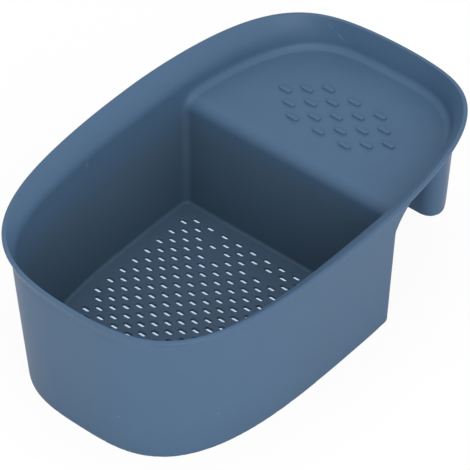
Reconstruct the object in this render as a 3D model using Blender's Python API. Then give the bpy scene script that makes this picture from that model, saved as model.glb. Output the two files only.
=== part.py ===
# Saddle sink strainer.
# A strainer basket hangs in the bowl of a double sink, a shallow tray bridges the divider,
# and a short leg behind the divider keeps the whole from tipping.
# The real object is one injection moulding. Each region of it is an object here.
# Units are metres and +Z is up. The origin is on the ground under the middle of the rim.
# +X runs from the basket to the tray, and the shape is mirrored about the XZ plane.

import math

import bmesh
import bpy

# Overall sizes
rim_length = 0.285
rim_width = 0.1828
rim_height = 0.1008
rim_crown = 0.00383         # how far the rim's level falls off towards its two ends
rim_rise = 0.00114          # how far it climbs from the middle to the tray end
wall = 0.002                # thickness of every wall
seam = 0.0003               # gap between neighbouring regions

# Plan shapes: how far in front of the middle each outline is widest
rim_widest = 0.0088
base_widest = 0.01685

# Rim
lip_height = 0.0015
flare_start = 0.087         # level above which the walls curve outwards
tray_flare_start = 0.079    # the same at the tray end, where the wall leans out more steadily
flare_power = 2.0           # how the flare grows above that level: 1 would be a straight slope
side_overhang = 0.0112      # rim beyond the drafted walls, at the long sides
end_overhang = 0.003        # rim beyond the drafted walls, at the two ends

# Draft: how much narrower the body is at the ground than at the draft height
draft_height = 0.088
side_draft = 0.00245
basket_end_draft = 0.0035
leg_end_draft = 0.0037

# Basket
floor_thickness = 0.002
saddle_wall_place = 0.0424  # outer face of the saddle wall at the ground
saddle_wall_lean = 0.0023   # how much further it stands at its top
corner_radius = 0.006       # upright corners between the saddle wall and the side walls
roll_radius = 0.008         # edge over which the saddle wall turns into the tray

# Tray
tray_height = 0.0786        # upper face of the tray
tray_thickness = 0.002
cove_radius = 0.005         # hollow fillet between the tray and the wall around it
cove_edge = 0.0004          # thickness of the fillet's upper edge

# Leg
leg_place = 0.093           # face towards the basket, at the tray's underside
leg_lean = 0.002            # how much further it stands at its bottom
leg_bottom = 0.030
leg_corner_radius = 0.0135

# Drain slots, in rows that are staggered by half a pitch
slot_pitch = 0.0108
slot_length = 0.0052
slot_width = 0.0024
slot_margin = 0.0091        # from a slot's middle to the walls' inner faces

# Places without a slot: row counted from the saddle wall, and pitches to either side
blank_slot_shares = ((1, 4.0), (2, 0.5), (3, 3.0))

# Raised ribs on the tray
rib_length = 0.0080
rib_width = 0.0030
rib_height = 0.0012
rib_bevel = 0.0004
rib_field_place = 0.0857
rib_row_pitch = 0.0082
rib_pitch = 0.0189
rib_row_counts = (3, 4, 5, 4, 3)

# Powers of the ovals: length and width towards the basket, length and width towards the tray
rim_powers = (2.99, 3.24, 2.15, 3.60)
top_powers = (3.03, 3.83, 2.46, 3.70)
base_powers = (3.40, 3.10, 2.15, 3.60)

# How much the rim's outline is drawn in between its middles and its corners, eight times a turn
rim_wave_share = 0.0034

# Counts of flat facets
ring_steps = 88
wall_steps = 44
cap_steps = 40
corner_steps = 4
roll_steps = 5
flare_steps = 5
rib_end_steps = 3

# How far cutters and joined shapes run past the faces that they meet
overrun = 0.001

# Levels and places that follow from the sizes
tray_bottom = tray_height - tray_thickness
roll_base = tray_height - roll_radius
roll_centre = saddle_wall_place + saddle_wall_lean - wall + roll_radius
floor_top = floor_thickness


def oval(widest, back, front, half_width, powers):
    """An oval outline: its widest place, its two half lengths, its half width and its powers."""
    return {"widest": widest, "back": back, "front": front, "half_width": half_width, "powers": powers}


rim_oval = oval(rim_widest, rim_length / 2 + rim_widest, rim_length / 2 - rim_widest,
                rim_width / 2, rim_powers)
top_oval = oval(rim_widest, rim_oval["back"] - end_overhang, rim_oval["front"] - end_overhang,
                rim_width / 2 - side_overhang, top_powers)
base_oval = oval(base_widest,
                 rim_length / 2 - end_overhang - basket_end_draft + base_widest,
                 rim_length / 2 - end_overhang - leg_end_draft - base_widest,
                 top_oval["half_width"] - side_draft, base_powers)


def shrink(outline, inset):
    """The same oval, drawn in by an inset on every side."""
    return oval(outline["widest"], outline["back"] - inset, outline["front"] - inset,
                outline["half_width"] - inset, outline["powers"])


def oval_point(outline, angle):
    """Point of an oval. Angle 0 is the tray end, and a quarter turn is the +Y side."""
    c = math.cos(angle)
    s = math.sin(angle)
    back_power, back_width_power, front_power, front_width_power = outline["powers"]
    if c < 0:
        x = outline["widest"] - outline["back"] * abs(c) ** (2 / back_power)
        width_power = back_width_power
    else:
        x = outline["widest"] + outline["front"] * c ** (2 / front_power)
        width_power = front_width_power
    y = math.copysign(outline["half_width"] * abs(s) ** (2 / width_power), s)
    return x, y


def drafted_point(angle, z, inset):
    """Point on the walls as the draft alone would carry them up."""
    share = z / draft_height
    x0, y0 = oval_point(shrink(base_oval, inset), angle)
    x1, y1 = oval_point(shrink(top_oval, inset), angle)
    return x0 + (x1 - x0) * share, y0 + (y1 - y0) * share


def rim_point(angle, inset):
    """Point of the rim's outline, drawn in by an inset."""
    x, y = oval_point(shrink(rim_oval, inset), angle)
    turn = math.atan2(2 * y / rim_width, 2 * x / rim_length)
    scale = 1 - rim_wave_share * (1 - math.cos(8 * turn))
    return x * scale, y * scale


def rim_level(x):
    """Height of the rim's upper face. It is highest a little towards the tray."""
    share = 2 * x / rim_length
    peak = 3 / 4 * rim_rise * (rim_rise / (4 * rim_crown)) ** (1 / 3)
    return rim_height - peak + rim_rise * share - rim_crown * share ** 4


def flare_bottom(x):
    """Level above which the wall curves outwards."""
    return flare_start - (flare_start - tray_flare_start) * max(2 * x / rim_length, 0) ** 4


def body_point(angle, z, inset):
    """Point on the body: outer skin with inset 0, inner skin with an inset of one wall."""
    x, y = drafted_point(angle, z, inset)
    rim_x, rim_y = rim_point(angle, inset)
    start = flare_bottom(rim_x)
    if z > start:
        level = rim_level(rim_x) - lip_height
        top_x, top_y = drafted_point(angle, level, inset)
        share = ((z - start) / (level - start)) ** flare_power
        x += (rim_x - top_x) * share
        y += (rim_y - top_y) * share
    return x, y, z


def angle_at(x, z, inset):
    """Angle in the +Y half at which the body's skin passes a given x."""
    low = 0.0
    high = math.pi
    for _ in range(40):
        middle = (low + high) / 2
        if body_point(middle, z, inset)[0] > x:
            low = middle
        else:
            high = middle
    return (low + high) / 2


def saddle_outer(z):
    """Outer face of the saddle wall, below the rolled edge."""
    return saddle_wall_place + saddle_wall_lean * z / roll_base


def leg_outer(z):
    """Face of the leg towards the basket."""
    return leg_place + leg_lean * (tray_bottom - z) / (tray_bottom - leg_bottom)


def plastic(name, colour, roughness):
    """Material of one region."""
    material = bpy.data.materials.new(name)
    material.use_nodes = True
    shader = material.node_tree.nodes["Principled BSDF"]
    shader.inputs["Base Color"].default_value = (*colour, 1)
    shader.inputs["Roughness"].default_value = roughness
    shader.inputs["Metallic"].default_value = 0
    material.diffuse_color = (*colour, 1)
    return material


def finish(name, mesh_data, colour=(0.105, 0.18, 0.29), roughness=0.42):
    """Turns a bmesh into a named object with outward faces and its own material."""
    bmesh.ops.recalc_face_normals(mesh_data, faces=mesh_data.faces)
    mesh = bpy.data.meshes.new(name)
    mesh_data.to_mesh(mesh)
    mesh_data.free()
    mesh.shade_smooth()
    mesh.set_sharp_from_angle(angle=math.radians(30))
    mesh.materials.append(plastic(name + "_plastic", colour, roughness))
    item = bpy.data.objects.new(name, mesh)
    bpy.context.collection.objects.link(item)
    return item


def add_strips(mesh_data, first, second, closed):
    """Quads between two rows of vertices."""
    count = len(first)
    last = count if closed else count - 1
    for i in range(last):
        j = (i + 1) % count
        mesh_data.faces.new((first[i], first[j], second[j], second[i]))


def sheet(outer_rows, inner_rows, closed):
    """A solid between two skins, each given as rows of points with the same counts."""
    mesh_data = bmesh.new()
    outer = [[mesh_data.verts.new(p) for p in row] for row in outer_rows]
    inner = [[mesh_data.verts.new(p) for p in row] for row in inner_rows]
    for skin in (outer, inner):
        for below, above in zip(skin, skin[1:]):
            add_strips(mesh_data, below, above, closed)
    add_strips(mesh_data, outer[0], inner[0], closed)
    add_strips(mesh_data, outer[-1], inner[-1], closed)
    if not closed:
        for end in (0, -1):
            add_strips(mesh_data, [row[end] for row in outer], [row[end] for row in inner], False)
    return mesh_data


def combine(item, tool, operation):
    """Cuts a tool out of an object, or joins it on. The tool itself is left out of the model."""
    tool.hide_render = True
    tool.display_type = "WIRE"
    boolean = item.modifiers.new(tool.name, "BOOLEAN")
    boolean.operation = operation
    boolean.solver = "EXACT"
    boolean.object = tool


def full_turn():
    """Angles of a closed ring."""
    return [2 * math.pi * i / ring_steps for i in range(ring_steps)]


def corner_arc(x_face, y_side, radius, turn):
    """Upright corner in the +Y half, from the side wall round to the cross wall.
    turn is 1 where the cross wall faces +X and -1 where it faces -X."""
    points = []
    for k in range(1, corner_steps + 1):
        a = math.pi / 2 * k / corner_steps
        x = x_face - turn * radius * (1 - math.sin(a))
        y = y_side - radius * (1 - math.cos(a))
        points.append((x, y))
    return points


def wall_row(z, inset, x_face, radius, turn, steps):
    """One level of a wall that follows the body and turns in at both ends to meet a cross wall."""
    start_x = x_face - turn * radius
    start = angle_at(start_x, z, inset)
    sweep = 2 * (math.pi - start) if turn > 0 else -2 * start
    side = []
    for i in range(steps + 1):
        side.append(body_point(start + sweep * i / steps, z, inset))
    y_side = side[0][1]
    arc = corner_arc(x_face, y_side, radius, turn)
    first = [(x, y, z) for x, y in reversed(arc)]
    last = [(x, -y, z) for x, y in arc]
    return first + side + last


def cross_half_width(z, inset, x_face, radius, turn):
    """Half width of the flat part of a cross wall, between its two upright corners."""
    return body_point(angle_at(x_face - turn * radius, z, inset), z, inset)[1] - radius


def make_basket_wall():
    """Wall round the basket: both sides, the rounded end and the two upright corners."""
    levels = (floor_top + seam, roll_base - seam)
    outer = [wall_row(z, 0, saddle_outer(z), corner_radius, 1, wall_steps) for z in levels]
    inner = [wall_row(z, wall, saddle_outer(z) - wall, corner_radius - wall, 1, wall_steps)
             for z in levels]
    return finish("basket_wall", sheet(outer, inner, False))


def make_saddle_wall():
    """Flat wall between the basket and the sink's divider."""
    outer = []
    inner = []
    for z in (floor_top + seam, roll_base - seam):
        for rows, inset in ((outer, 0), (inner, wall)):
            x = saddle_outer(z) - inset
            half = cross_half_width(z, inset, x, corner_radius - inset, 1) - seam
            rows.append([(x, y, z) for y in (-half, half)])
    return finish("saddle_wall", sheet(outer, inner, False))


def make_rolled_edge():
    """Rounded edge over which the saddle wall turns into the tray."""
    outer = []
    inner = []
    for k in range(roll_steps + 1):
        a = math.pi / 2 * k / roll_steps
        for rows, radius in ((inner, roll_radius), (outer, roll_radius - wall)):
            x = roll_centre - radius * math.cos(a)
            z = roll_base + radius * math.sin(a)
            half = body_point(angle_at(x, z, wall), z, wall)[1] - seam
            rows.append([(x, y, z) for y in (-half, half)])
    return finish("rolled_edge", sheet(outer, inner, False))


def make_strainer_floor():
    """Perforated floor of the basket."""
    shape = wall_row(0, 0, saddle_outer(0), corner_radius, 1, wall_steps)
    mesh_data = bmesh.new()
    lower = [mesh_data.verts.new(p) for p in shape]
    upper = [mesh_data.verts.new((x, y, floor_top)) for x, y, z in shape]
    add_strips(mesh_data, lower, upper, True)
    mesh_data.faces.new(lower)
    mesh_data.faces.new(upper)
    floor = finish("strainer_floor", mesh_data)
    combine(floor, make_slot_cutter(), "DIFFERENCE")
    return floor


def slot_places():
    """Middles of the drain slots, row by row from the saddle wall towards the basket's end."""
    limit = shrink(base_oval, wall + slot_margin)
    first_row = saddle_outer(floor_top) - wall - slot_margin
    half_pitch = slot_pitch / 2
    row_count = int((first_row + limit["back"] - limit["widest"]) / half_pitch) + 1
    blanks = {(row, share) for row, share in blank_slot_shares}
    places = []
    for row in range(row_count):
        x = first_row - row * half_pitch
        reach = half_width_at(limit, x)
        offset = 0.5 if row % 2 == 0 else 0.0
        steps = int(reach / slot_pitch - offset + 1) if reach >= offset * slot_pitch else 0
        for step in range(steps):
            share = offset + step
            if (row, share) in blanks:
                continue
            sides = (1, -1) if share > 0 else (1,)
            for side in sides:
                places.append((x, side * share * slot_pitch))
    return places


def half_width_at(outline, x):
    """Half width of an oval at a given x."""
    back_power, back_width_power, front_power, front_width_power = outline["powers"]
    if x < outline["widest"]:
        share = (outline["widest"] - x) / outline["back"]
        power, width_power = back_power, back_width_power
    else:
        share = (x - outline["widest"]) / outline["front"]
        power, width_power = front_power, front_width_power
    if share >= 1:
        return 0.0
    c = share ** (power / 2)
    return outline["half_width"] * math.sqrt(1 - c * c) ** (2 / width_power)


def make_slot_cutter():
    """All drain slots as one cutter of separate six-sided bars."""
    mesh_data = bmesh.new()
    tip = slot_length / 2
    shoulder = tip - slot_width / 3
    half = slot_width / 2
    outline = ((0, -tip), (half, -shoulder), (half, shoulder),
               (0, tip), (-half, shoulder), (-half, -shoulder))
    for x, y in slot_places():
        lower = [mesh_data.verts.new((x + dx, y + dy, -overrun)) for dx, dy in outline]
        upper = [mesh_data.verts.new((x + dx, y + dy, floor_top + overrun)) for dx, dy in outline]
        add_strips(mesh_data, lower, upper, True)
        mesh_data.faces.new(reversed(lower))
        mesh_data.faces.new(upper)
    return finish("slot_cutter", mesh_data)


def flange_bottom(x):
    """Lower edge of the flange: it follows the rolled edge and then the tray's underside."""
    under_radius = roll_radius - wall
    reach = roll_centre - x
    if reach <= 0:
        return tray_bottom
    if reach >= under_radius:
        return roll_base
    return roll_base + math.sqrt(under_radius ** 2 - reach ** 2)


def make_rim_flange():
    """Upright band round the basket and the tray, which curves outwards to the lip."""
    outer = [[] for _ in range(flare_steps + 2)]
    inner = [[] for _ in range(flare_steps + 2)]
    for angle in full_turn():
        rim_x = rim_point(angle, 0)[0]
        low = flare_bottom(rim_x)
        high = rim_level(rim_x) - lip_height - seam
        levels = [flange_bottom(body_point(angle, tray_bottom, 0)[0])]
        levels += [low + (high - low) * k / flare_steps for k in range(flare_steps + 1)]
        for k, z in enumerate(levels):
            outer[k].append(body_point(angle, z, 0))
            inner[k].append(body_point(angle, z, wall))
    return finish("rim_flange", sheet(outer, inner, True))


def make_rim_lip():
    """Upright bead along the flange's outer edge."""
    outer = [[], []]
    inner = [[], []]
    for angle in full_turn():
        x, y = rim_point(angle, 0)
        top = rim_level(x)
        for row, z in enumerate((top - lip_height, top)):
            outer[row].append((x, y, z))
            inner[row].append((*rim_point(angle, wall), z))
    return finish("rim_lip", sheet(outer, inner, True))


def make_drain_tray():
    """Shallow tray over the divider, with a hollow fillet along the wall around it."""
    edge_x = roll_centre + seam
    inset = wall + seam
    rows = [(tray_bottom, inset), (tray_height + cove_radius, inset)]
    for k in range(corner_steps + 1):
        a = math.pi / 2 * k / corner_steps
        drop = cove_radius * math.sin(a)
        rows.append((tray_height + cove_radius - drop, inset + cove_edge + cove_radius * (1 - math.cos(a))))
    mesh_data = bmesh.new()
    rings = []
    for z, row_inset in rows:
        reach = angle_at(edge_x, z, row_inset)
        ring = []
        for i in range(cap_steps + 1):
            angle = -reach + 2 * reach * i / cap_steps
            x, y, level = body_point(angle, z, row_inset)
            if i in (0, cap_steps):
                x = edge_x
            ring.append(mesh_data.verts.new((x, y, level)))
        rings.append(ring)
    for below, above in zip(rings, rings[1:]):
        add_strips(mesh_data, below, above, False)
    mesh_data.faces.new(rings[0])
    mesh_data.faces.new(rings[-1])
    left = [ring[0] for ring in rings]
    right = [ring[-1] for ring in rings]
    mesh_data.faces.new(left + list(reversed(right)))
    tray = finish("drain_tray", mesh_data)
    combine(tray, make_tray_ribs(), "UNION")
    return tray


def make_leg():
    """Hollow leg behind the divider: a flat face and a skirt that follows the tray's end."""
    top = tray_bottom - seam
    levels = (leg_bottom, top)
    outer = []
    inner = []
    face_outer = []
    face_inner = []
    for z in levels:
        for skirt, face, inset in ((outer, face_outer, 0), (inner, face_inner, wall)):
            x = leg_outer(z) + inset
            radius = leg_corner_radius - inset
            skirt.append(wall_row(z, inset, x, radius, -1, wall_steps))
            half = cross_half_width(z, inset, x, radius, -1) - seam
            face.append([(x, y, z) for y in (-half, half)])
    finish("leg_skirt", sheet(outer, inner, False))
    finish("leg_face", sheet(face_outer, face_inner, False))


def rib_outline(inset):
    """Outline of one rib: a bar with round ends, drawn in by an inset."""
    radius = rib_width / 2 - inset
    straight = (rib_length - rib_width) / 2
    points = []
    for side in (1, -1):
        for k in range(rib_end_steps + 1):
            a = math.pi * k / rib_end_steps
            points.append((side * radius * math.cos(a), side * (straight + radius * math.sin(a))))
    return points


def make_tray_ribs():
    """Raised ribs in staggered rows, which run down into the tray's plate."""
    mesh_data = bmesh.new()
    base = tray_height - overrun
    top = tray_height + rib_height
    levels = ((base, 0), (top - rib_bevel, 0), (top, rib_bevel))
    middle_row = (len(rib_row_counts) - 1) / 2
    for row, count in enumerate(rib_row_counts):
        x = rib_field_place + (row - middle_row) * rib_row_pitch
        for i in range(count):
            y = (i - (count - 1) / 2) * rib_pitch
            rings = []
            for z, inset in levels:
                rings.append([mesh_data.verts.new((x + dx, y + dy, z)) for dx, dy in rib_outline(inset)])
            for below, above in zip(rings, rings[1:]):
                add_strips(mesh_data, below, above, True)
            mesh_data.faces.new(rings[0])
            mesh_data.faces.new(rings[-1])
    return finish("rib_shapes", mesh_data)


def main():
    for item in list(bpy.data.objects):
        bpy.data.objects.remove(item, do_unlink=True)
    make_strainer_floor()
    make_basket_wall()
    make_saddle_wall()
    make_rolled_edge()
    make_drain_tray()
    make_rim_flange()
    make_rim_lip()
    make_leg()


main()
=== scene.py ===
# Saddle sink strainer: the fine surface, materials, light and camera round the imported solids.
# The real object is one moulding. Its body is made here as one closed skin, found from a
# signed field in which every wall, rounded edge and hollow fillet is written as a formula.
# The flared rim is lofted round the top, and the ribs sit on the tray.

import math

import bmesh
import bpy
import numpy as np
from mathutils import Matrix, Vector


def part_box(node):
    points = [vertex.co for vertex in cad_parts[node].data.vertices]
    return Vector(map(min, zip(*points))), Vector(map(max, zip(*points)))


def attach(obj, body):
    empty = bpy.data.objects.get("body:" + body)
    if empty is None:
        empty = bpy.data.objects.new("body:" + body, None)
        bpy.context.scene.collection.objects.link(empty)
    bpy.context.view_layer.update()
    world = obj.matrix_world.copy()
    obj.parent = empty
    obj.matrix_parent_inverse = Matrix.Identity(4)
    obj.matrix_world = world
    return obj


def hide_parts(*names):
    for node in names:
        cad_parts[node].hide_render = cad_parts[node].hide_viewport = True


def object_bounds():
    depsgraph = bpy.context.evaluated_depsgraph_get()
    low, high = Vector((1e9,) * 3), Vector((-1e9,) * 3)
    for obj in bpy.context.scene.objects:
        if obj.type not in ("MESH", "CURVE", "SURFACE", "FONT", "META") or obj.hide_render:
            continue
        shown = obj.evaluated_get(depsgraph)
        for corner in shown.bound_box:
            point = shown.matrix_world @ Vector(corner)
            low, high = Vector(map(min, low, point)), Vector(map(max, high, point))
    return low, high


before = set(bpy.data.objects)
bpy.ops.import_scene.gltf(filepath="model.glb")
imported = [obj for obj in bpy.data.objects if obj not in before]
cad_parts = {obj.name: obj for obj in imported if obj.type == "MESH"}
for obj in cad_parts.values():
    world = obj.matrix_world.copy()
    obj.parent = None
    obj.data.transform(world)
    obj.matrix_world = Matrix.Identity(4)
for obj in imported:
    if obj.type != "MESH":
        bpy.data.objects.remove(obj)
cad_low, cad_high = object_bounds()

# Sizes, in metres. The overall sizes and levels come from the solids.
rim_length = cad_high.x - cad_low.x
rim_width = cad_high.y - cad_low.y
rim_height = cad_high.z
rim_crown = 0.00383
rim_rise = 0.00114
rim_wave_share = 0.0034
rim_waves = 8
wall = 0.002
floor_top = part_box("strainer_floor")[1].z
tray_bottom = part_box("drain_tray")[0].z
tray_top = tray_bottom + wall
leg_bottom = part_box("leg_skirt")[0].z

lip_height = 0.0015
flare_start = 0.087
tray_flare_start = 0.079
tray_flare_power = 4
flare_power = 2.0
side_overhang = 0.0112
end_overhang = 0.003
join_height = 0.085

rim_widest = 0.0088
base_widest = 0.01685
rim_powers = (2.99, 3.24, 2.15, 3.60)
top_powers = (3.03, 3.83, 2.46, 3.70)
base_powers = (3.40, 3.10, 2.15, 3.60)
draft_height = 0.088
side_draft = 0.00245
basket_end_draft = 0.0035
leg_end_draft = 0.0037

saddle_wall_place = 0.0424
saddle_wall_lean = 0.0023
roll_radius = 0.008
roll_base = tray_top - roll_radius
cove_radius = 0.0042
floor_fillet = 0.002
corner_radius = 0.006
base_edge = 0.0009
tray_edge_radius = cove_radius + wall
underside_radius = 0.012
leg_place = 0.093
leg_lean = 0.002
leg_corner_radius = 0.0135
leg_root_fillet = 0.002
leg_edge = 0.0008

slot_pitch = 0.0108
slot_length = 0.0052
slot_width = 0.0023
slot_edge = 0.0006
slot_foot_edge = 0.00015
slot_margin = 0.0091
blank_slot_shares = ((1, 4.0), (2, 0.5), (3, 3.0))

rib_length = 0.0080
rib_width = 0.0030
rib_height = 0.0014
rib_top_edge = 0.0003
rib_foot_fillet = 0.0001
rib_sink = 0.0002
rib_field_place = 0.0857
rib_row_pitch = 0.0082
rib_pitch = 0.0189
rib_row_counts = (3, 4, 5, 4, 3)

rim_edge_radius = 0.00035
rim_under_edge_radius = 0.0004

# The plastic: two tones that cloud into each other, a satin gloss and a fine grain
dark_tone = (0.0535, 0.1020, 0.173, 1)
light_tone = (0.0610, 0.1150, 0.194, 1)
refraction = 1.47
reflection_level = 0.18
smooth_roughness = 0.36
matt_roughness = 0.46
cloud_scale = 45.0
grain_scale = 1400.0
grain_strength = 0.2
grain_height = 0.0002

# Painted shade: the basket's inner walls and floor are painted a greyer, darker tone, standing in for the
# shade inside it. It fades out below the tray and at the saddle wall.
painted_shade_tone = (1.0, 0.91, 0.81, 1)
basket_middle = (-0.048, 0.0, 0.0)
shade_facing_out = 0.35
shade_facing_in = -0.10
shade_fade_depth = 0.022
shade_fade_place = 0.010
shade_full_place = 0.004

# Wear: where each scuff starts and ends, and how strong it is
scuff_colour = (0.16, 0.23, 0.32, 1)
scuff_half_width = 0.0007
scuffs = (
    ((-0.0392, 0.0791, 0.0914), (-0.0400, 0.0774, 0.0862), 0.9),
    ((-0.0400, 0.0774, 0.0872), (-0.0421, 0.0772, 0.0824), 0.9),
    ((0.13315, 0.0467, 0.0961), (0.1347, 0.0399, 0.0906), 0.6),
    ((0.1346, 0.0402, 0.0910), (0.1353, 0.0332, 0.0853), 0.6),
    ((-0.1355, -0.0276, 0.0268), (-0.1355, -0.0290, 0.0279), 1.0),
    ((-0.0987, -0.0679, 0.0262), (-0.0987, -0.0679, 0.0276), 1.0))

# Camera, found from the photograph's rim, floor, slots and mirror symmetry
photo_size = 470
focal_pixels = 3200.2
camera_azimuth = math.radians(-49.90)
camera_elevation = math.radians(42.87)
camera_distance = 1.7997
camera_target = Vector((-0.00352, 0.00062, 0.050))
sensor_width = 36.0

# Resolution
cell = 0.001
slab_count = 12
gradient_step = 0.00004
rim_stations = 480
arc_steps = 5
flare_steps = 12
slot_end_steps = 8
slot_edge_steps = 3
rib_end_steps = 8
rib_foot_steps = 3
rib_top_steps = 4
skin_rounds = 4
settle_rounds = 4
least_sum = 1e-9
least_slope = 1e-6
least_reach_slope = 0.5
sharp_angle = math.radians(50)
overrun = 0.001

# The floor: its glow to the camera, and the patch under the basket with a painted shadow in its glow
floor_reach = 4
floor_glow = 0.93
paper_tone = (0.8, 0.8, 0.8, 1)
white = (1, 1, 1, 1)
painted_shadow_tone = (0.53, 0.68, 0.92, 1)
patch_lift = 0.00005
patch_steps = 96

# Light: the world's level, and soft lamps with their places and powers
world_level = 0.86
backdrop_level = 1.0
lamp_size = 1.3
lamps = (
    ("key_lamp", (-0.866, -1.5, 1.05), 21),
    ("top_lamp", (0.035, 0.0, 2.05), 9),
    ("side_lamp", (-1.638, 0.0, 1.197), 4.5))


# Ovals: widest place, two half lengths, half width, then the powers of length and width
# towards the basket and of length and width towards the tray.
def make_oval(widest, back, front, half_width, powers):
    return np.array((widest, back, front, half_width, *powers))


rim_oval = make_oval(rim_widest, rim_length / 2 + rim_widest, rim_length / 2 - rim_widest,
                     rim_width / 2, rim_powers)
top_oval = make_oval(rim_widest, rim_oval[1] - end_overhang, rim_oval[2] - end_overhang,
                     rim_oval[3] - side_overhang, top_powers)
base_oval = make_oval(base_widest,
                      rim_length / 2 - end_overhang - basket_end_draft + base_widest,
                      rim_length / 2 - end_overhang - leg_end_draft - base_widest,
                      top_oval[3] - side_draft, base_powers)


def rim_level(x):
    """Height of the rim's upper face. It is highest a little towards the tray."""
    share = 2 * x / rim_length
    peak = 3 / 4 * rim_rise * (rim_rise / (4 * rim_crown)) ** (1 / 3)
    return rim_height - peak + rim_rise * share - rim_crown * share ** 4


def body_oval(x, z):
    """Outline of the body's outer skin at a height, and how far it has flared out to the rim."""
    level = rim_level(x) - lip_height
    towards_tray = np.maximum(2 * x / rim_length, 0) ** tray_flare_power
    start = flare_start - (flare_start - tray_flare_start) * towards_tray
    flare = (np.maximum(z - start, 0) / (level - start)) ** flare_power
    low, high = z / draft_height, level / draft_height
    oval = [b + (t - b) * low + (r - b - (t - b) * high) * flare
            for b, t, r in zip(base_oval, top_oval, rim_oval)]
    return oval, flare


def rim_scale(x, y, flare):
    """Draws the rim in by a fine wave: not at its four middles and corners, but between them."""
    turn = np.arctan2(2 * y / rim_width, 2 * x / rim_length)
    return 1 - rim_wave_share * (1 - np.cos(rim_waves * turn)) * flare


def oval_point(oval, angle, inset=0.0):
    """Point of an oval. Angle 0 is the tray end, and a quarter turn is the +Y side."""
    widest, back, front, half_width, m_back, n_back, m_front, n_front = oval
    c, s = math.cos(angle), math.sin(angle)
    length, m, n = (back, m_back, n_back) if c < 0 else (front, m_front, n_front)
    x = widest + math.copysign((length - inset) * abs(c) ** (2 / m), c)
    y = math.copysign((half_width - inset) * abs(s) ** (2 / n), s)
    return Vector((x, y))


def skin_distance(x, y, z, inset):
    """Distance to the body's skin, negative inside it. The inset is 0 outside and one wall inside."""
    oval, flare = body_oval(x, z)
    widest, back, front, half_width, m_back, n_back, m_front, n_front = oval
    scale = rim_scale(x, y, flare)
    x, y = x / scale, y / scale
    ahead = x > widest
    length = np.where(ahead, front, back) - inset
    m = np.where(ahead, m_front, m_back)
    n = np.where(ahead, n_front, n_back)
    half = half_width - inset
    u = np.abs(x - widest) / length
    v = np.abs(y) / half
    um, vn = u ** m, v ** n
    total = np.maximum(um + vn, least_sum)
    power = (m * um + n * vn) / total
    reach = total ** (1 / power)
    slope = reach / (power * total) * np.hypot(m * u ** (m - 1) / length, n * v ** (n - 1) / half)
    return (reach - 1) / np.maximum(slope, least_reach_slope / length)


def skin_point(angle, z, inset):
    """Point of the body's skin at a height."""
    x = oval_point(rim_oval, angle).x
    for _ in range(skin_rounds):
        oval, flare = body_oval(x, z)
        point = oval_point(oval, angle, inset)
        point *= float(rim_scale(point.x, point.y, flare))
        x = point.x
    return point


def round_join(a, b, radius):
    """Two solids as one, with a hollow fillet where they meet."""
    inner = np.hypot(np.maximum(radius - a, 0), np.maximum(radius - b, 0))
    return np.maximum(radius, np.minimum(a, b)) - inner


def round_cut(a, b, radius):
    """What two solids share, with a rounded edge."""
    outer = np.hypot(np.maximum(radius + a, 0), np.maximum(radius + b, 0))
    return np.minimum(-radius, np.maximum(a, b)) + outer


def moulding(x, y, z):
    """Signed field of the moulding below the rim: negative in the plastic."""
    outer_skin = skin_distance(x, y, z, 0)
    inner_skin = skin_distance(x, y, z, wall)
    saddle_face = saddle_wall_place + saddle_wall_lean * z / roll_base
    leg_face = leg_place + leg_lean * (tray_bottom - z) / (tray_bottom - leg_bottom)

    # What bounds the air above: side walls, the saddle wall rolled over into the tray, the floor
    block = round_cut(saddle_face - wall - x, z - tray_top, roll_radius)
    lining = round_join(-inner_skin, block, cove_radius)
    lining = round_join(lining, z - floor_top, floor_fillet)

    # The envelope: basket, tray and leg
    basket = round_cut(outer_skin, x - saddle_face, corner_radius)
    tray = round_cut(outer_skin, tray_bottom - z, tray_edge_radius)
    leg = round_cut(outer_skin, leg_face - x, leg_corner_radius)
    leg = round_cut(leg, leg_bottom - z, leg_edge)
    envelope = round_join(basket, tray, underside_radius)
    envelope = round_join(envelope, leg, leg_root_fillet)
    envelope = np.maximum(envelope, outer_skin)
    envelope = round_cut(envelope, -z, base_edge)

    # The leg is hollow and open underneath
    hollow = round_cut(inner_skin, leg_face + wall - x, leg_corner_radius - wall)
    hollow = round_cut(hollow, z - tray_bottom, leg_root_fillet)
    return round_cut(np.maximum(envelope, lining), -hollow, leg_edge)


def slot_places():
    """Middles of the drain slots, row by row from the saddle wall towards the basket's end."""
    widest, back, front, half_width, m_back, n_back, m_front, n_front = base_oval
    inset = wall + slot_margin
    first_row = saddle_wall_place + saddle_wall_lean * floor_top / roll_base - inset
    half_pitch = slot_pitch / 2
    blanks = set(blank_slot_shares)
    places = []
    for row in range(int((first_row + back - inset - widest) / half_pitch) + 1):
        x = first_row - row * half_pitch
        ahead = x > widest
        share = abs(x - widest) / ((front if ahead else back) - inset)
        m, n = (m_front, n_front) if ahead else (m_back, n_back)
        reach = (half_width - inset) * max(1 - share ** m, 0) ** (1 / n)
        offset = 0.5 if row % 2 == 0 else 0.0
        step = 0
        while (offset + step) * slot_pitch <= reach:
            pitches = offset + step
            step += 1
            if (row, pitches) in blanks:
                continue
            for side in (1, -1) if pitches > 0 else (1,):
                places.append((x, side * pitches * slot_pitch))
    return np.array(places)


def slot_distance(x, y, places):
    """Distance in plan to the nearest slot's edge, negative inside a slot."""
    straight = (slot_length - slot_width) / 2
    nearest = np.full(len(x), 1.0)
    for px, py in places:
        along = np.maximum(np.abs(y - py) - straight, 0)
        nearest = np.minimum(nearest, np.hypot(x - px, along))
    return nearest - slot_width / 2


def slotted_moulding(places):
    """The moulding's field with its slots. Their upper and lower edges are rounded."""
    def field(x, y, z):
        solid = moulding(x, y, z)
        low = z < floor_top + slot_edge
        slots = slot_distance(x[low], y[low], places)
        radius = np.where(z[low] > floor_top / 2, slot_edge, slot_foot_edge)
        solid[low] = round_cut(solid[low], -slots, radius)
        return solid
    return field


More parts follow.
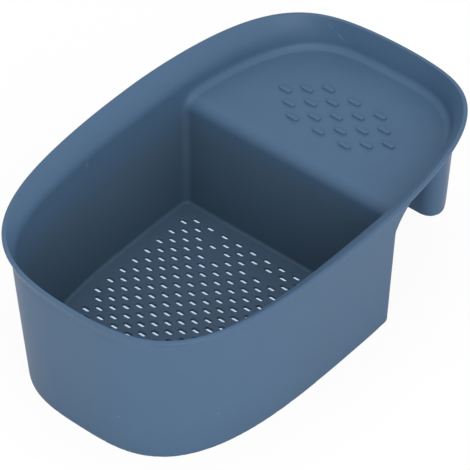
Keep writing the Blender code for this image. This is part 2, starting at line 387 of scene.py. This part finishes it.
def gradient(field, points):
    """Slope of a field at points, by central differences."""
    result = np.empty_like(points)
    for axis in range(3):
        step = np.zeros(3)
        step[axis] = gradient_step
        result[:, axis] = (field(*(points + step).T) - field(*(points - step).T)) / (2 * gradient_step)
    return result


def surface_net(field, low, high):
    """Quads round the zero of a field, one point to each cell that it crosses."""
    low = np.array(low)
    counts = np.round((np.array(high) - low) / cell).astype(int)
    axes = [low[a] + cell * np.arange(counts[a] + 1) for a in range(3)]
    slabs = [field(*np.meshgrid(part, *axes[1:], indexing="ij", sparse=True))
             for part in np.array_split(axes[0], slab_count)]
    values = np.concatenate(slabs)
    inside = values < 0
    filled = sum(inside[i:counts[0] + i, j:counts[1] + j, k:counts[2] + k].astype(np.int8)
                 for i in (0, 1) for j in (0, 1) for k in (0, 1))
    cells = np.argwhere((filled > 0) & (filled < 8))
    number = np.full(counts, -1)
    number[tuple(cells.T)] = np.arange(len(cells))

    total = np.zeros((len(cells), 3))
    hits = np.zeros((len(cells), 1))
    quads = []
    for axis in range(3):
        second, third = (axis + 1) % 3, (axis + 2) % 3
        unit = np.eye(3, dtype=int)
        for a in (0, 1):
            for b in (0, 1):
                start = a * unit[second] + b * unit[third]
                first_value = values[tuple((cells + start).T)]
                last_value = values[tuple((cells + start + unit[axis]).T)]
                crossed = (first_value < 0) != (last_value < 0)
                share = np.where(crossed, first_value / np.where(crossed, first_value - last_value, 1), 0)
                total += crossed[:, None] * (start + unit[axis] * share[:, None])
                hits += crossed[:, None]
        before = np.moveaxis(inside, axis, 0)
        edges = np.argwhere(np.moveaxis(before[:-1] != before[1:], 0, axis))
        keep = (edges[:, second] > 0) & (edges[:, third] > 0)
        keep &= (edges[:, second] < counts[second]) & (edges[:, third] < counts[third])
        edges = edges[keep]
        around = [edges, edges - unit[second], edges - unit[second] - unit[third], edges - unit[third]]
        quad = np.stack([number[tuple(e.T)] for e in around], 1)
        leaving = inside[tuple(edges.T)]
        quads.append(np.where(leaving[:, None], quad, quad[:, ::-1]))
    points = low + cell * (cells + total / hits)
    return points, np.concatenate(quads), cells[:, 2] == counts[2] - 1


def settle(field, points, level):
    """Moves points onto the zero of a field. Points marked level keep their height."""
    for _ in range(settle_rounds):
        slope = gradient(field, points)
        slope[level, 2] = 0
        steepness = np.maximum((slope ** 2).sum(1), least_slope)
        points = points - slope * (field(*points.T) / steepness)[:, None]
    return points


def mesh_object(name, points, faces):
    """Adds a mesh of points and faces to the scene."""
    mesh = bpy.data.meshes.new(name)
    mesh.from_pydata([tuple(p) for p in points], [], [tuple(f) for f in faces])
    item = bpy.data.objects.new(name, mesh)
    bpy.context.scene.collection.objects.link(item)
    return item


def shade(item):
    """Smooth shading with its sharp edges kept."""
    item.data.shade_smooth()
    item.data.set_sharp_from_angle(angle=sharp_angle)


def stadium(length, width, steps):
    """Outline of a bar with round ends, long in Y."""
    straight = (length - width) / 2
    points = []
    for side in (1, -1):
        for k in range(steps + 1):
            a = math.pi * k / steps
            points.append((side * width / 2 * math.cos(a), side * (straight + width / 2 * math.sin(a))))
    return points


def stack(rings, faces, points):
    """Adds a closed body of equal rings, from the lowest ring to the highest."""
    first = len(points)
    count = len(rings[0])
    for ring in rings:
        points.extend(ring)
    for r in range(len(rings) - 1):
        for i in range(count):
            j = (i + 1) % count
            a, b = first + r * count, first + (r + 1) * count
            faces.append((a + i, a + j, b + j, b + i))
    faces.append(tuple(first + i for i in reversed(range(count))))
    faces.append(tuple(first + (len(rings) - 1) * count + i for i in range(count)))


def slot_cutter(places):
    """All the slots as one cutter, which widens in a rounded edge at the floor's two faces."""
    turns = [math.pi / 2 * k / slot_edge_steps for k in range(slot_edge_steps + 1)]
    levels = [(-overrun, slot_foot_edge)]
    for a in turns:
        levels.append((slot_foot_edge * (1 - math.cos(a)), slot_foot_edge * (1 - math.sin(a))))
    for a in reversed(turns):
        levels.append((floor_top - slot_edge * (1 - math.cos(a)), slot_edge * (1 - math.sin(a))))
    levels.append((floor_top + overrun, slot_edge))
    points, faces = [], []
    for x, y in places:
        rings = []
        for z, out in levels:
            outline = stadium(slot_length + 2 * out, slot_width + 2 * out, slot_end_steps)
            rings.append([(x + dx, y + dy, z) for dx, dy in outline])
        stack(rings, faces, points)
    return mesh_object("slot_cutter", points, faces)


def make_shell():
    """The moulding below the rim."""
    margin = 2 * cell
    bottom = join_height - cell * math.ceil((join_height + margin) / cell)
    low = (-rim_length / 2 - margin, -rim_width / 2, bottom)
    high = (rim_length / 2 + margin, rim_width / 2, join_height)
    points, quads, top_row = surface_net(moulding, low, high)
    points[top_row, 2] = join_height
    points = settle(moulding, points, top_row)
    shell = mesh_object("moulded_body", points, quads)
    edit = bmesh.new()
    edit.from_mesh(shell.data)
    rim = [e for e in edit.edges if e.is_boundary]
    bmesh.ops.bridge_loops(edit, edges=rim)
    bmesh.ops.recalc_face_normals(edit, faces=edit.faces)
    edit.to_mesh(shell.data)
    edit.free()

    places = slot_places()
    cutter = slot_cutter(places)
    cut = shell.modifiers.new("slots", "BOOLEAN")
    cut.operation = "DIFFERENCE"
    cut.solver = "MANIFOLD"
    cut.object = cutter
    graph = bpy.context.evaluated_depsgraph_get()
    cut_mesh = bpy.data.meshes.new_from_object(shell.evaluated_get(graph))
    shell.modifiers.clear()
    shell.data = cut_mesh
    bpy.data.objects.remove(cutter)

    mesh = shell.data
    mesh.shade_smooth()
    count = len(mesh.vertices)
    co = np.empty(count * 3)
    mesh.vertices.foreach_get("co", co)
    co = co.reshape(-1, 3)
    slope = gradient(slotted_moulding(places), co)
    normals = slope / np.maximum(np.linalg.norm(slope, axis=1), least_sum)[:, None]
    mesh.normals_split_custom_set_from_vertices([tuple(n) for n in normals])
    return shell


def rounded_path(corners):
    """Path through corners, each given with its radius. Ends keep their points."""
    path = [corners[0][0]]
    for (before, _), (corner, radius), (after, _) in zip(corners, corners[1:], corners[2:]):
        if radius == 0:
            path.append(corner)
            continue
        inward = (before - corner).normalized()
        onward = (after - corner).normalized()
        half = inward.angle(onward) / 2
        start = corner + inward * radius / math.tan(half)
        end = corner + onward * radius / math.tan(half)
        centre = corner + (inward + onward).normalized() * radius / math.sin(half)
        turn = (start - centre).angle_signed(end - centre)
        for k in range(arc_steps + 1):
            arm = start - centre
            arm.rotate(Matrix.Rotation(-turn * k / arc_steps, 2))
            path.append(centre + arm)
    path.append(corners[-1][0])
    return path


def rim_side(angle, level, inset):
    """Points up the outer or inner side of the rim, from the join to its upper face."""
    lip_foot = level - lip_height
    end = level if inset else lip_foot
    foot = skin_point(angle, join_height, inset)
    outward = (skin_point(angle, lip_foot, inset) - foot).normalized()
    corners = []
    for k in range(flare_steps + 1):
        share = k / flare_steps
        z = join_height + (end - join_height) * share
        drop = (end - lip_foot) * share ** 2
        reach = (skin_point(angle, z - drop, inset) - foot).dot(outward)
        corners.append((Vector((reach, z)), 0))
    if inset:
        corners[-1] = (corners[-1][0], rim_edge_radius)
        corners.append((Vector((reach + wall / 2, level)), 0))
    else:
        corners[-1] = (corners[-1][0], rim_under_edge_radius)
        corners.append((Vector((reach, level)), rim_edge_radius))
        corners.append((Vector((reach - wall / 2, level)), 0))
    path = rounded_path(corners)[:-1]
    return [(foot.x + outward.x * u, foot.y + outward.y * u, z) for u, z in path]


def make_rim():
    """Flared rim with an upright lip, lofted round the top of the shell."""
    points, faces = [], []
    for i in range(rim_stations):
        angle = 2 * math.pi * i / rim_stations
        level = rim_level(oval_point(rim_oval, angle).x)
        ring = rim_side(angle, level, 0) + rim_side(angle, level, wall)[::-1]
        points.extend(ring)
    count = len(ring)
    for i in range(rim_stations):
        j = (i + 1) % rim_stations
        for k in range(count):
            n = (k + 1) % count
            faces.append((i * count + k, j * count + k, j * count + n, i * count + n))
    rim = mesh_object("flared_rim", points, faces)
    shade(rim)
    return rim


def make_ribs():
    """Raised ribs on the tray, each with a small fillet at its foot and a rounded top."""
    points, faces = [], []
    levels = [(-rib_sink, rib_foot_fillet)]
    for k in range(rib_foot_steps + 1):
        a = math.pi / 2 * k / rib_foot_steps
        levels.append((rib_foot_fillet * (1 - math.cos(a)), rib_foot_fillet * (1 - math.sin(a))))
    for k in range(rib_top_steps + 1):
        a = math.pi / 2 * k / rib_top_steps
        levels.append((rib_height - rib_top_edge * (1 - math.sin(a)), -rib_top_edge * (1 - math.cos(a))))
    middle = (len(rib_row_counts) - 1) / 2
    for row, number in enumerate(rib_row_counts):
        x = rib_field_place + (row - middle) * rib_row_pitch
        for i in range(number):
            y = (i - (number - 1) / 2) * rib_pitch
            rings = []
            for z, out in levels:
                outline = stadium(rib_length + 2 * out, rib_width + 2 * out, rib_end_steps)
                rings.append([(x + dx, y + dy, tray_top + z) for dx, dy in outline])
            stack(rings, faces, points)
    ribs = mesh_object("tray_ribs", points, faces)
    shade(ribs)
    return ribs


def node(tree, kind, **inputs):
    """Adds a node, with values on its named inputs."""
    made = tree.nodes.new(kind)
    for key, value in inputs.items():
        made.inputs[key].default_value = value
    return made


def product(tree, first, second):
    """Product of a socket and a number, or of two sockets."""
    made = tree.nodes.new("ShaderNodeMath")
    made.operation = "MULTIPLY"
    tree.links.new(first, made.inputs[0])
    if isinstance(second, float):
        made.inputs[1].default_value = second
    else:
        tree.links.new(second, made.inputs[1])
    return made.outputs["Value"]


def vector_step(tree, operation, first, second=None):
    """One operation on vectors. The second one is a socket, three numbers, or none."""
    made = tree.nodes.new("ShaderNodeVectorMath")
    made.operation = operation
    tree.links.new(first, made.inputs[0])
    if isinstance(second, tuple):
        made.inputs[1].default_value = second
    elif second is not None:
        tree.links.new(second, made.inputs[1])
    return made.outputs["Value" if operation == "DOT_PRODUCT" else "Vector"]


def ramp(tree, source, zero, one):
    """0 where the source is at the first value, 1 where it is at the second."""
    made = tree.nodes.new("ShaderNodeMapRange")
    made.inputs["From Min"].default_value = zero
    made.inputs["From Max"].default_value = one
    tree.links.new(source, made.inputs["Value"])
    return made.outputs["Result"]


def between(tree, source, low, high):
    """From one value to another as the source goes from 0 to 1."""
    made = tree.nodes.new("ShaderNodeMapRange")
    made.inputs["To Min"].default_value = low
    made.inputs["To Max"].default_value = high
    tree.links.new(source, made.inputs["Value"])
    return made.outputs["Result"]


def colour_mix(tree, factor, second, blend="MIX"):
    """A mix towards a second colour. Its first colour is left to be set."""
    made = tree.nodes.new("ShaderNodeMix")
    made.data_type = "RGBA"
    made.blend_type = blend
    made.inputs["B"].default_value = second
    tree.links.new(factor, made.inputs["Factor"])
    return made


def painted_basket_shade(tree, place):
    """1 on the basket's inner walls and floor, where shade is painted in as a greyer, darker tone, and 0
    elsewhere.
    """
    arm = vector_step(tree, "SUBTRACT", place.outputs["Object"], basket_middle)
    level_arm = vector_step(tree, "MULTIPLY", arm, (1, 1, 0))
    outward = vector_step(tree, "NORMALIZE", level_arm)
    facing = vector_step(tree, "DOT_PRODUCT", outward, place.outputs["Normal"])
    inward = ramp(tree, facing, shade_facing_out, shade_facing_in)
    parts = tree.nodes.new("ShaderNodeSeparateXYZ")
    tree.links.new(place.outputs["Object"], parts.inputs["Vector"])
    depth = ramp(tree, parts.outputs["Z"], tray_bottom, tray_bottom - shade_fade_depth)
    behind = ramp(tree, parts.outputs["X"],
                  saddle_wall_place + shade_fade_place, saddle_wall_place + shade_full_place)
    return product(tree, product(tree, inward, depth), behind)


def add_scuffs(tree, place, colour):
    """Pale hair-fine scuffs, each a stretched ball of lighter colour laid along the surface."""
    for start, end, strength in scuffs:
        start, end = Vector(start), Vector(end)
        lie = tree.nodes.new("ShaderNodeMapping")
        lie.vector_type = "TEXTURE"
        lie.inputs["Location"].default_value = (start + end) / 2
        lie.inputs["Rotation"].default_value = (end - start).to_track_quat("X", "Z").to_euler()
        lie.inputs["Scale"].default_value = ((end - start).length / 2, scuff_half_width, scuff_half_width)
        ball = tree.nodes.new("ShaderNodeTexGradient")
        ball.gradient_type = "SPHERICAL"
        tree.links.new(place.outputs["Object"], lie.inputs["Vector"])
        tree.links.new(lie.outputs["Vector"], ball.inputs["Vector"])
        paler = colour_mix(tree, product(tree, ball.outputs["Fac"], strength), scuff_colour)
        tree.links.new(colour, paler.inputs["A"])
        colour = paler.outputs["Result"]
    return colour


def satin_plastic():
    """Blue-grey moulded plastic: slight clouding, a fine matt grain, painted shade inside the basket and
    light scuffs.
    """
    material = bpy.data.materials.new("satin_plastic")
    material.use_nodes = True
    tree = material.node_tree
    shader = tree.nodes["Principled BSDF"]
    shader.inputs["IOR"].default_value = refraction
    shader.inputs["Specular IOR Level"].default_value = reflection_level
    place = tree.nodes.new("ShaderNodeTexCoord")

    clouds = node(tree, "ShaderNodeTexNoise", Scale=cloud_scale, Detail=4.0, Roughness=0.55)
    grain = node(tree, "ShaderNodeTexNoise", Scale=grain_scale, Detail=2.0, Roughness=0.5)
    bump = node(tree, "ShaderNodeBump", Strength=grain_strength, Distance=grain_height)
    for texture in (clouds, grain):
        tree.links.new(place.outputs["Object"], texture.inputs["Vector"])
    tree.links.new(grain.outputs["Fac"], bump.inputs["Height"])
    tint = colour_mix(tree, clouds.outputs["Fac"], light_tone)
    tint.inputs["A"].default_value = dark_tone
    # Painted shade: the basket's inside is multiplied towards a greyer, darker tone
    inner_shade = colour_mix(tree, painted_basket_shade(tree, place), painted_shade_tone, "MULTIPLY")
    gloss = between(tree, clouds.outputs["Fac"], smooth_roughness, matt_roughness)
    tree.links.new(tint.outputs["Result"], inner_shade.inputs["A"])
    tree.links.new(add_scuffs(tree, place, inner_shade.outputs["Result"]), shader.inputs["Base Color"])
    tree.links.new(gloss, shader.inputs["Roughness"])
    tree.links.new(bump.outputs["Normal"], shader.inputs["Normal"])
    return material


def floor_paper(name, tone):
    """A plain tone to the camera, with a faint shadow, and white paper to every other ray."""
    material = bpy.data.materials.new(name)
    material.use_nodes = True
    tree = material.node_tree
    tree.nodes.remove(tree.nodes["Principled BSDF"])
    paper = node(tree, "ShaderNodeBsdfDiffuse", Color=paper_tone)
    glow = node(tree, "ShaderNodeEmission", Color=tone, Strength=1.0)
    mix = tree.nodes.new("ShaderNodeMixShader")
    rays = tree.nodes.new("ShaderNodeLightPath")
    tree.links.new(product(tree, rays.outputs["Is Camera Ray"], floor_glow), mix.inputs["Fac"])
    tree.links.new(paper.outputs["BSDF"], mix.inputs[1])
    tree.links.new(glow.outputs["Emission"], mix.inputs[2])
    tree.links.new(mix.outputs["Shader"], tree.nodes["Material Output"].inputs["Surface"])
    return material


def make_floor():
    """Plain white floor. The patch under the basket, seen through its slots, glows a dim bluish tone: a
    painted shadow with painted blue bounce light.
    """
    points = [(-floor_reach, -floor_reach, 0), (floor_reach, -floor_reach, 0),
              (floor_reach, floor_reach, 0), (-floor_reach, floor_reach, 0)]
    ground = tuple(range(len(points)))
    for step in range(patch_steps):
        point = skin_point(2 * math.pi * step / patch_steps, 0.0, 2 * wall)
        points.append((min(float(point.x), saddle_wall_place - wall), float(point.y), patch_lift))
    floor = mesh_object("floor", points, [ground, tuple(range(len(ground), len(points)))])
    floor.data.materials.append(floor_paper("white_floor", white))
    # Painted shadow: the patch glows a dim bluish tone to the camera
    floor.data.materials.append(floor_paper("shaded_floor", painted_shadow_tone))
    floor.data.polygons[1].material_index = 1


def make_world():
    """White backdrop, which lights the object a little less than it shows."""
    world = bpy.data.worlds.new("studio")
    world.use_nodes = True
    tree = world.node_tree
    background = tree.nodes["Background"]
    background.inputs["Color"].default_value = white
    rays = tree.nodes.new("ShaderNodeLightPath")
    level = between(tree, rays.outputs["Is Camera Ray"], world_level, backdrop_level)
    tree.links.new(level, background.inputs["Strength"])
    bpy.context.scene.world = world


def make_lamp(name, place, power):
    """Square soft lamp that looks at the object."""
    light = bpy.data.lights.new(name, "AREA")
    light.size = lamp_size
    light.energy = power
    lamp = bpy.data.objects.new(name, light)
    lamp.location = place
    lamp.rotation_mode = "QUATERNION"
    lamp.rotation_quaternion = (camera_target - Vector(place)).to_track_quat("-Z", "Y")
    bpy.context.scene.collection.objects.link(lamp)


def make_camera():
    """Camera at the photograph's view."""
    data = bpy.data.cameras.new("camera")
    data.sensor_width = sensor_width
    data.lens = focal_pixels * sensor_width / photo_size
    camera = bpy.data.objects.new("camera", data)
    back = Vector((math.sin(camera_azimuth) * math.cos(camera_elevation),
                   -math.cos(camera_azimuth) * math.cos(camera_elevation),
                   math.sin(camera_elevation)))
    camera.location = camera_target + back * camera_distance
    camera.rotation_mode = "QUATERNION"
    camera.rotation_quaternion = (-back).to_track_quat("-Z", "Y")
    bpy.context.scene.collection.objects.link(camera)
    bpy.context.scene.camera = camera


shell = make_shell()
rim = make_rim()
ribs = make_ribs()
plastic = satin_plastic()
for piece in (shell, rim, ribs):
    piece.data.materials.clear()
    piece.data.materials.append(plastic)
    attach(piece, "root")
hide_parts("strainer_floor", "basket_wall", "saddle_wall", "rolled_edge", "leg_skirt", "leg_face")
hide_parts("rim_flange", "rim_lip")
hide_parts("drain_tray")

make_floor()
make_world()
for name, place, power in lamps:
    make_lamp(name, place, power)
make_camera()
bpy.context.scene.view_settings.view_transform = "Standard"
